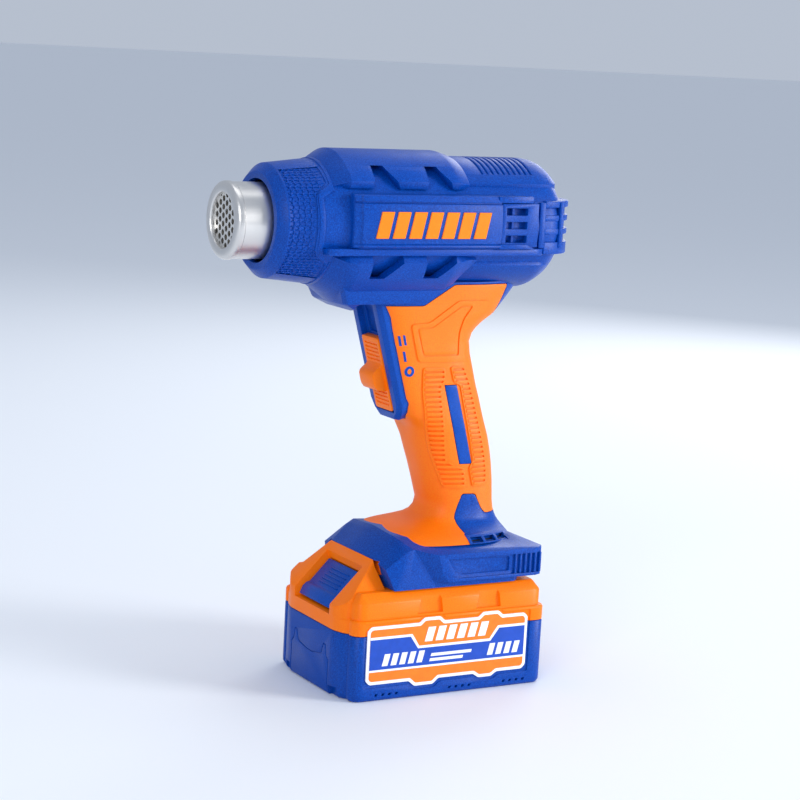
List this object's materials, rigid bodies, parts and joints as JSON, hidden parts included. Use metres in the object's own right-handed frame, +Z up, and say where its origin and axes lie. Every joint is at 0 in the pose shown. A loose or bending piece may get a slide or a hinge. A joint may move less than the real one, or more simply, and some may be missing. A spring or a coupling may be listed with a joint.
{
  "type": "cordless heat gun",
  "caption": "Pistol-shaped cordless heat gun with a perforated steel nozzle, slide switch, soft grip and a slide-on battery pack that it stands on.",
  "frame": {"origin": "on the floor under the middle of the whole tool", "axes": "+Z up, -X out of the nozzle, -Y the left side of the tool"},
  "size_m": [0.175, 0.076, 0.2518],
  "materials": {
    "blue_housing": "fine moulded grain, satin",
    "orange_grip": "fine grained soft overmould",
    "blue_badge": "satin",
    "orange_emblem": "smooth satin",
    "stainless_nozzle": "drawn and polished stainless steel",
    "mica": "layered mica sheet",
    "heater_wire": "oxidised resistance wire",
    "motor_steel": "zinc plated steel",
    "black_nylon": "glass filled nylon",
    "blue_bezel": "satin",
    "orange_slider": "satin",
    "spring_steel": "bright spring steel",
    "circuit_board": "solder mask",
    "copper_blades": "tinned copper",
    "red_lead": "silicone sleeve",
    "black_lead": "silicone sleeve",
    "blue_pack": "fine moulded grain, satin",
    "orange_pack": "fine moulded grain, satin",
    "label_film": "printed film",
    "cell_wrap": "shrink wrap",
    "blue_button": "satin",
    "zinc_screws": "zinc plated steel"
  },
  "bodies": {
    "tool": {"housing_left": "blue_housing", "housing_right": "blue_housing", "grip_left": "orange_grip", "grip_right": "orange_grip", "badge_left": "blue_badge", "badge_right": "blue_badge", "emblem_left": "orange_emblem", "emblem_right": "orange_emblem", "nozzle_tube": "stainless_nozzle", "outlet_disc": "stainless_nozzle", "mica_sleeve": "mica", "mica_cross": "mica", "heater_coil": "heater_wire", "thermal_cutout": "motor_steel", "fan_duct": "black_nylon", "motor_can": "motor_steel", "switch_bezel": "blue_bezel", "switch_block": "black_nylon", "detent_leaf": "spring_steel", "control_board": "circuit_board", "terminal_block": "black_nylon", "blade_positive": "copper_blades", "blade_negative": "copper_blades", "heater_lead_a": "red_lead", "heater_lead_b": "black_lead", "motor_lead_a": "red_lead", "motor_lead_b": "black_lead", "housing_screw_1": "zinc_screws", "housing_screw_2": "zinc_screws", "housing_screw_3": "zinc_screws", "housing_screw_4": "zinc_screws", "housing_screw_5": "zinc_screws", "housing_screw_6": "zinc_screws", "housing_screw_7": "zinc_screws"},
    "fan": {"fan_impeller": "black_nylon", "motor_shaft": "motor_steel"},
    "switch": {"switch_slider": "orange_slider"},
    "pack": {"pack_bottom_case": "blue_pack", "pack_top_case": "orange_pack", "pack_label_left": "label_film", "pack_label_right": "label_film", "cell_1": "cell_wrap", "cell_2": "cell_wrap", "cell_3": "cell_wrap", "cell_4": "cell_wrap", "cell_5": "cell_wrap", "cell_6": "cell_wrap", "cell_7": "cell_wrap", "cell_8": "cell_wrap", "cell_9": "cell_wrap", "cell_10": "cell_wrap", "cell_holder": "black_nylon", "pack_board": "circuit_board", "socket_block": "black_nylon", "button_spring": "spring_steel", "pack_screw_1": "zinc_screws", "pack_screw_2": "zinc_screws", "pack_screw_3": "zinc_screws", "pack_screw_4": "zinc_screws"},
    "button": {"release_button": "blue_button"}
  },
  "joints": [
    {"name": "fan_spin", "type": "hinge", "parent": "tool", "child": "fan", "pos_m": [0.051, 0, 0.2185], "axis": [1, 0, 0], "continuous": true},
    {"name": "switch_slide", "type": "slide", "parent": "tool", "child": "switch", "axis": [-0.2756, 0, 0.9613], "range_m": [0, 0.0153]},
    {"name": "pack_slide", "type": "slide", "parent": "tool", "child": "pack", "axis": [-1, 0, 0], "range_m": [0, 0.085]},
    {"name": "button_press", "type": "slide", "parent": "pack", "child": "button", "axis": [0.7071, 0, -0.7071], "range_m": [0, 0.002], "stiffness_N_per_m": 700, "springref_m": -0.002, "deforming": ["button_spring"]}
  ]
}
